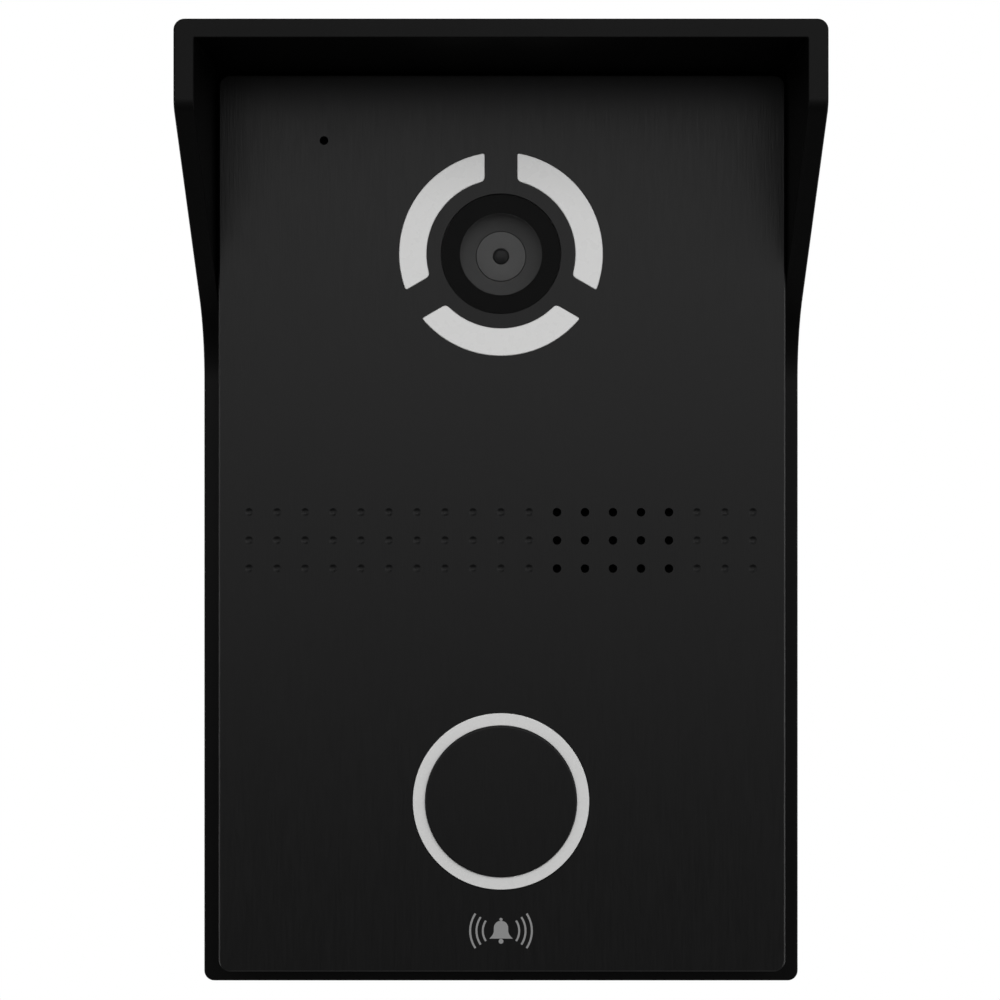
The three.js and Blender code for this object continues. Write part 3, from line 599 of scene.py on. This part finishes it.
# %% [markdown]
# ## The faceplate
# The faceplate is a 3 mm plate with its openings cut through and its blind dots milled as shallow dimples, a
# quarter of a millimetre deep. Each light window is a sector of a ring whose ends are parallel to the bars
# between the windows, so its corners sit where a circle meets a line half a bar's width from the middle of
# that bar.

# %% Outlines in the faceplate
WINDOW_OUTER, WINDOW_INNER, BAR = 17.78, 12.92, 5.6
OUTER_TRIM, INNER_TRIM, WINDOW_GAP = 0.4, 0.8, 0.03
BAR_ANGLES = (90, 210, 330)


def window_corner(centre, radius, bar, angle, way, arc_trim, end_trim):
    """The rounded corner where a circle meets the line beside a bar: three points of a quadratic curve.

    On the bar's own axes the corner is (sqrt(radius^2 - half^2), way * half), with half of the bar's width.
    """
    a = math.radians(angle)
    along, across = np.array([math.cos(a), math.sin(a)]), np.array([-math.sin(a), math.cos(a)])
    half = bar / 2
    corner = along * math.sqrt(radius ** 2 - half ** 2) + across * way * half
    turn = way * arc_trim / radius
    on_arc = np.array([[math.cos(turn), -math.sin(turn)], [math.sin(turn), math.cos(turn)]]) @ corner
    on_end = corner + along * end_trim
    t = np.linspace(0, 1, 5)[:, None]
    return np.asarray(centre) + (1 - t) ** 2 * on_arc + 2 * t * (1 - t) * corner + t ** 2 * on_end


def window_loop(angle, clearance=0.0):
    """One light window, anticlockwise: outer arc, far end, inner arc, near end."""
    outer, inner, bar = WINDOW_OUTER - clearance, WINDOW_INNER + clearance, BAR + 2 * clearance
    far = angle + 120
    corners = [window_corner(camera, outer, bar, angle, 1, OUTER_TRIM, -OUTER_TRIM),
               window_corner(camera, outer, bar, far, -1, OUTER_TRIM, -OUTER_TRIM),
               window_corner(camera, inner, bar, far, -1, INNER_TRIM, INNER_TRIM),
               window_corner(camera, inner, bar, angle, 1, INNER_TRIM, INNER_TRIM)]

    def between(first, last, radius, steps):
        a, b = [math.degrees(math.atan2(*(p - camera)[::-1])) for p in (first, last)]
        b = a + (b - a + 180) % 360 - 180
        return arc(camera, radius, a, b, steps)[1:-1]

    near_outer, far_outer, far_inner, near_inner = corners
    return np.vstack([near_outer[::-1], between(near_outer[0], far_outer[0], outer, 48), far_outer,
                      far_inner[::-1], between(far_inner[0], near_inner[0], inner, 36), near_inner])


print("window loop", len(window_loop(90)), "points")

# %% [markdown]
# The dots run across the plate in three rows of nineteen. The fifteen in front of the loudspeaker go right
# through, and the rest are only there to carry the row from edge to edge. The plate has a little play in its
# seat and hangs over to the right, as these plates do.

# %% The faceplate
plate_width = 2 * half_width("faceplate")
plate_low, plate_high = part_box("faceplate")
plate_height = (plate_high.z - plate_low.z) / MM
PITCH = np.array([4.87, 4.9])
ROW_MIDDLE = middle("speaker_magnet")[1]
DOT, DIMPLE_DEPTH = 0.72, 0.24
FIRST_SOUND, LAST_SOUND = 2, 6
PLATE_CORNER, PLATE_CHAMFER, HOLE_CHAMFER = 2.0, 0.27, 0.05
PLATE_PLAY = 0.18
BUTTON_HOLE, CAMERA_HOLE = 15.5, 10.46
plate_holes = [(circle(camera, CAMERA_HOLE, 128), None), (circle(button, BUTTON_HOLE, 160), None),
               (circle(middle("microphone"), DOT, 24), None)]
plate_holes += [(window_loop(angle), None) for angle in BAR_ANGLES]
for column in range(-9, 10):
    for row in (-1, 0, 1):
        dot = circle(np.array([column, row]) * PITCH + [0, ROW_MIDDLE], DOT, 24)
        through = FIRST_SOUND <= column <= LAST_SOUND
        plate_holes.append((dot, None if through else plate_front - DIMPLE_DEPTH))
plate_outline = rounded_rectangle(plate_width - 2 * PLATE_PLAY, plate_height, PLATE_CORNER, 10,
                                  (PLATE_PLAY, 0))
plate_shape = pierced_plate(plate_outline, plate_holes, plate_back, plate_front, PLATE_CHAMFER, HOLE_CHAMFER)
BOSS_BORE, BOSS_RADIUS = 1.65, 3.2
boss_profile = washer_profile(BOSS_BORE, BOSS_RADIUS, depths("faceplate")[0], plate_back + 0.1, 0.2)
bosses = [turned(middle(f"housing_screw_{i}"), boss_profile, 48) for i in (1, 2, 3, 4)]
add_piece("brushed_faceplate", *together(plate_shape, *bosses), finishes["black_anodised_aluminium"],
          "black_anodised_aluminium", replaces=["faceplate"], crisp=18)

# %% [markdown]
# A silicone gasket keeps rain out between the plate and the housing. Squeezed between the two, it fills the
# gap from one to the other.

# %% Gasket
gasket_low, gasket_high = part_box("faceplate_gasket")
gasket_size = np.array([gasket_high.x - gasket_low.x, gasket_high.z - gasket_low.z]) / MM
GASKET_WIDTH, TOUCHING = 1.8, 0.01
gasket_back, gasket_front = depths("rear_housing")[1] + TOUCHING, plate_back - TOUCHING
gasket_outside = rounded_rectangle(*gasket_size, 1.5, 8)
gasket_inside = rounded_rectangle(*(gasket_size - 2 * GASKET_WIDTH), 0.5, 8)
gasket_shape = pierced_plate(gasket_outside, [(gasket_inside, None)], gasket_back, gasket_front, 0.2, 0.05)
add_piece("squeezed_gasket", *gasket_shape, finishes["dark_silicone"], "dark_silicone",
          replaces=["faceplate_gasket"])

# %% [markdown]
# Behind the microphone's hole a disc of black acoustic cloth keeps dust out, as the larger one does behind
# the sound holes. It fills the small gap between the plate and the rubber boot.

# %% Microphone cloth
CLOTH_RADIUS, CLOTH_GAP = 2.2, 0.02
cloth_back, cloth_front = depths("microphone_boot")[1] + CLOTH_GAP, plate_back - CLOTH_GAP
cloth_profile = eased([(0, cloth_back), (CLOTH_RADIUS, cloth_back), (CLOTH_RADIUS, cloth_front),
                       (0, cloth_front)], 0.03)
add_piece("microphone_cloth", *turned(middle("microphone"), cloth_profile, 48), finishes["acoustic_foam"],
          "acoustic_foam")

# %% [markdown]
# A small printed bell below the button says what it is for. It is ink, so it is a layer a few hundredths of
# a millimetre thick, made of loops like any other plate: the bell's body, its clapper and knob, and short
# arcs of sound on both sides.

# %% Printed bell
def bell_loop(centre, steps=24):
    """The bell's body: at a share t of its height, half its width is a quarter circle's rise and a flare.

    The width is 1.25 sqrt(1 - (1 - t / 0.4)^2) up to t = 0.4 and stays there, plus 0.8 ((t - 0.55) / 0.45)^2.
    """
    t = np.linspace(0.02, 1, steps)
    rise, flare = np.minimum(t / 0.4, 1), np.maximum((t - 0.55) / 0.45, 0)
    width = 1.25 * np.sqrt(1 - (1 - rise) ** 2) + 0.8 * flare ** 2
    height = 1.75 - 3.1 * t
    right = np.column_stack([width, height])
    return np.vstack([right[::-1], right * [-1, 1]]) + np.asarray(centre)


def sound_loop(centre, radius, thick, middle_angle, half_angle):
    """A short arc with a width: an outer arc forwards and an inner arc back."""
    outer = arc(centre, radius + thick, middle_angle - half_angle, middle_angle + half_angle, 12)
    inner = arc(centre, radius, middle_angle + half_angle, middle_angle - half_angle, 12)
    return np.vstack([outer, inner])


KNOB, KNOB_HEIGHT, CLAPPER, CLAPPER_HEIGHT = 0.28, 1.98, 0.42, -1.82
SOUND_RADII, SOUND_THICK, SOUND_ANGLE = (3.0, 4.1, 5.2), 0.34, 34
mark = np.array([0.0, -70.9])
mark_loops = [bell_loop(mark), circle(mark + [0, KNOB_HEIGHT], KNOB, 24),
              circle(mark + [0, CLAPPER_HEIGHT], CLAPPER, 24)]
mark_loops += [sound_loop(mark, radius, SOUND_THICK, side, SOUND_ANGLE)
               for radius in SOUND_RADII for side in (0, 180)]
INK_FOOT, INK_TOP = plate_front - 0.02, plate_front + 0.025
mark_shapes = [pierced_plate(loop, [], INK_FOOT, INK_TOP, 0.004) for loop in mark_loops]
add_piece("printed_bell", *together(*mark_shapes), ink, "black_anodised_aluminium")

# %% [markdown]
# ## Light windows and call button
# The light guide is a white moulding whose three raised windows fill the sectors, level with the plate. The
# call button is a brushed cap in a white ring, both turned, and they ride on the button's own body so that
# they travel together when it is pressed.

# %% Light guide
GUIDE_BORE, GUIDE_THICK = 11.9, 0.7
guide_back, guide_front = depths("light_guide")
guide_ring = turned(camera, washer_profile(GUIDE_BORE, half_width("light_guide"), guide_back,
                                           guide_back + GUIDE_THICK))
window_back = guide_back + GUIDE_THICK + 0.05
windows = [pierced_plate(window_loop(angle, WINDOW_GAP), [], window_back, guide_front, 0.1)
           for angle in BAR_ANGLES]
add_piece("arc_light_windows", *together(guide_ring, *windows), finishes["white_diffuser"],
          "white_diffuser", replaces=["light_guide"])

# %% Call button
ring_back, ring_front = depths("button_light_ring")
cap_back, cap_front = depths("button_cap")
RING_GAP, CAP_GAP = 0.15, 0.08
ring_outer, ring_inner = BUTTON_HOLE - RING_GAP, 13.22
flange, flange_top = half_width("button_light_ring"), ring_back + 1.2
light_ring = ring_section([(ring_inner, ring_back), (flange, ring_back), (flange, flange_top),
                           (ring_outer, flange_top), (ring_outer, ring_front), (ring_inner, ring_front)],
                          0.12)
add_piece("call_button_ring", *turned(button, light_ring, 192), finishes["white_diffuser"],
          "white_diffuser", body="call_button", replaces=["button_light_ring"])
cap_radius = ring_inner - CAP_GAP
cap_profile = eased([(0, cap_back), (cap_radius, cap_back), (cap_radius, cap_front), (0, cap_front)], 0.25)
add_piece("call_button_cap", *turned(button, cap_profile, 192), finishes["black_anodised_aluminium"],
          "black_anodised_aluminium", body="call_button", replaces=["button_cap"])

# %% [markdown]
# ## The camera
# Behind the round window's rim a black border, let into the back of the glass, hides the rim of the funnel
# that shields the lens. The lens is a pinhole lens: its tube ends in a flat grey face, with the small dark
# bead of the front element in the middle. All of them are turned on the lens axis. The window is clear, so
# its shader is a Mix of two: Transparent, which lets everything through, and Glossy, which gives a soft
# sheen. Fresnel says how much of each is seen at what angle.

# %% Clear glass and the lens greys
funnel_grey = patterned("funnel_satin_grey", (0.0205, 0.0205, 0.0205), 0.65, size_mm=0.3, tint=0.1,
                        relief_mm=0.004)
tube_grey = patterned("tube_satin_grey", (0.049, 0.049, 0.049), 0.55, size_mm=0.3, tint=0.08,
                      relief_mm=0.003)


def clear_glass(name, index=1.09):
    """A thin pane: a sheen by the share that Fresnel gives, and for the rest nothing but a slight tint.

    A camera's window is coated so that it mirrors a small part of what bare glass does, hence the low index,
    and the coating spreads what is left.
    """
    made = patterned(name, (0.02, 0.02, 0.02), 0.25, size_mm=5, tint=0.1, rough_by=0.02)
    nodes, links = made.node_tree.nodes, made.node_tree.links
    sheen = nodes.new("ShaderNodeBsdfGlossy")
    clear = nodes.new("ShaderNodeBsdfTransparent")
    share = nodes.new("ShaderNodeFresnel")
    mix = nodes.new("ShaderNodeMixShader")
    share.inputs["IOR"].default_value = index
    clear.inputs["Color"].default_value = (0.95, 0.95, 0.95, 1)
    links.new(nodes["Map Range"].outputs["Result"], sheen.inputs["Roughness"])
    links.new(share.outputs["Fac"], mix.inputs["Fac"])
    links.new(clear.outputs["BSDF"], mix.inputs[1])
    links.new(sheen.outputs["BSDF"], mix.inputs[2])
    links.new(mix.outputs["Shader"], nodes["Material Output"].inputs["Surface"])
    return made


pane = clear_glass("clear_window_pane")

# %% Window and border
glass_back, glass_front = depths("camera_window")
VIEW, GLASS_LIP, GLASS_GAP = 7.16, 0.3, 0.04
glass_step, glass_edge = VIEW - GLASS_GAP, CAMERA_HOLE - 0.03
glass_profile = eased([(0, glass_back), (glass_step, glass_back), (glass_step, glass_front - GLASS_LIP),
                       (glass_edge, glass_front - GLASS_LIP), (glass_edge, glass_front), (0, glass_front)],
                      0.05)
add_piece("camera_window_glass", *turned(camera, glass_profile, 160), pane, "window_glass",
          replaces=["camera_window"])
border_profile = washer_profile(VIEW, glass_edge, glass_back, glass_front - GLASS_LIP - GLASS_GAP, 0.03)
add_piece("window_border", *turned(camera, border_profile, 160), border_ink, "lens_black")

# %% Funnel, lens tube and front element
shroud_back = depths("lens_shroud")[0]
tube_back, lens_face = depths("lens_barrel")
element_back, element_front = depths("lens_front_element")
LENS_RADIUS, PINHOLE, BEAD, SHOULDER, TUBE = 4.33, 1.41, 1.37, 35.0, 6.1
SKIRT, SKIRT_BORE, FUNNEL_FLANGE, FLANGE_BACK, FLANGE_FRONT = 8.4, 6.6, 11.6, 35.6, 36.8
neck, mouth, web = LENS_RADIUS + 0.06, glass_back - 0.7, SHOULDER + 0.3
funnel_inside, funnel_outside = VIEW + 0.3, CAMERA_HOLE - 0.2
funnel_section = ring_section([
    (funnel_inside, mouth), (funnel_outside, mouth), (funnel_outside, FLANGE_FRONT),
    (FUNNEL_FLANGE, FLANGE_FRONT), (FUNNEL_FLANGE, FLANGE_BACK), (SKIRT, FLANGE_BACK), (SKIRT, shroud_back),
    (SKIRT_BORE, shroud_back), (SKIRT_BORE, web), (neck, web), (neck, lens_face - 0.1),
    (funnel_inside, lens_face + 0.5)], 0.1)
add_piece("lens_funnel", *turned(camera, funnel_section, 160), funnel_grey, "lens_black",
          replaces=["lens_shroud"])
pinhole_floor = SHOULDER + 0.2
tube_profile = eased([(0, tube_back), (TUBE, tube_back), (TUBE, SHOULDER), (LENS_RADIUS, SHOULDER),
                      (LENS_RADIUS, lens_face), (PINHOLE, lens_face), (PINHOLE, pinhole_floor),
                      (0, pinhole_floor)], 0.08)
add_piece("lens_tube", *turned(camera, tube_profile, 160), tube_grey, "lens_black",
          replaces=["lens_barrel"])
t = np.linspace(0, np.pi / 2, 14)
dome = np.column_stack([BEAD * np.cos(t), lens_face + (element_front - lens_face) * np.sin(t)])
element_profile = np.vstack([[(0, element_back), (BEAD, element_back)], dome])
add_piece("front_element", *turned(camera, element_profile, 96), finishes["lens_glass"], "lens_glass",
          replaces=["lens_front_element"])

# %% [markdown]
# ## Camera, light and floor
# The camera stands square in front of the plate and close to it, which is why the hood's front edge looks
# wider than the rim. The stage is plain: a pale floor well below, white behind, and large soft lights.

# %% Camera
VIEW_DISTANCE, SENSOR, FOCAL_RATIO = 348.3, 36, 2.002
SHIFT_RIGHT, SHIFT_UP = -0.001, 0.0233
eye = bpy.data.objects.new("studio_camera", bpy.data.cameras.new("studio_camera"))
scene.collection.objects.link(eye)
eye.location = (0, -(plate_front + VIEW_DISTANCE) * MM, 0)
eye.rotation_euler = (math.pi / 2, 0, 0)
eye.data.sensor_width = SENSOR
eye.data.lens = SENSOR * FOCAL_RATIO
eye.data.shift_x, eye.data.shift_y = SHIFT_RIGHT, SHIFT_UP
eye.data.clip_start = 0.01
scene.camera = eye

# %% Lights and floor
def soft_light(name, azimuth, elevation, distance, width, height, strength):
    """A rectangular soft box that looks at the origin from an azimuth and elevation in degrees.

    Azimuth 0 is in front and 90 on the right. Its brightness is strength, the same from near and far, so
    its power is strength * area * pi in watts.
    """
    lamp = bpy.data.objects.new(name, bpy.data.lights.new(name, "AREA"))
    scene.collection.objects.link(lamp)
    lamp.data.shape = "RECTANGLE"
    lamp.data.size, lamp.data.size_y = width, height
    lamp.data.energy = strength * width * height * math.pi
    a, e = math.radians(azimuth), math.radians(elevation)
    place = Vector((math.cos(e) * math.sin(a), -math.cos(e) * math.cos(a), math.sin(e))) * distance
    lamp.location = place
    lamp.rotation_euler = (-place).to_track_quat("-Z", "Y").to_euler()
    lamp.visible_camera = False


soft_light("key", 8, 25, 1.5, 2.2, 1.1, 1.85)
soft_light("low_front", 0, 0.5, 1.5, 2.2, 0.2, 1.0)
soft_light("top", 0, 62, 1.4, 1.4, 0.9, 0.3)
soft_light("right", 62, 8, 1.4, 0.9, 1.2, 1.1)
soft_light("left", -62, 8, 1.4, 0.9, 1.2, 0.8)
soft_light("right_side", 100, 5, 1.4, 0.9, 1.2, 0.65)
soft_light("left_side", -100, 5, 1.4, 0.9, 1.2, 0.1)
soft_light("low_right", 45, -17, 1.5, 0.9, 0.8, 0.5)
soft_light("low_left", -45, -17, 1.5, 0.9, 0.8, 0.5)
soft_light("back_right", 135, -10, 1.6, 1.6, 1.2, 3.5)
soft_light("back_left", -135, -10, 1.6, 1.6, 1.2, 3.5)
soft_light("back_top", 180, 40, 1.6, 2.4, 0.9, 2.0)

world = bpy.data.worlds.new("studio")
scene.world = world
world.use_nodes = True
sky = world.node_tree.nodes["Background"]
rays = world.node_tree.nodes.new("ShaderNodeLightPath")
glow = world.node_tree.nodes.new("ShaderNodeMapRange")
glow.inputs["To Min"].default_value = 0.1
glow.inputs["To Max"].default_value = 1.0
world.node_tree.links.new(rays.outputs["Is Camera Ray"], glow.inputs["Value"])
world.node_tree.links.new(glow.outputs["Result"], sky.inputs["Strength"])
sky.inputs["Color"].default_value = (1, 1, 1, 1)
scene.view_settings.view_transform = "Standard"

FLOOR_RADIUS, FLOOR_HEIGHT, FLOOR_SIDES = 1.2, -2.5, 64
floor_mesh = bpy.data.meshes.new("studio_floor")
floor_loop = circle((0, 0), FLOOR_RADIUS, FLOOR_SIDES)
floor_points = np.column_stack([floor_loop, np.full(FLOOR_SIDES, FLOOR_HEIGHT)])
floor_mesh.from_pydata(floor_points, [], [list(range(FLOOR_SIDES))])
floor = bpy.data.objects.new("studio_floor", floor_mesh)
scene.collection.objects.link(floor)
floor_mesh.materials.append(patterned("pale_floor", (0.8, 0.8, 0.79), 0.7, size_mm=40, tint=0.01))
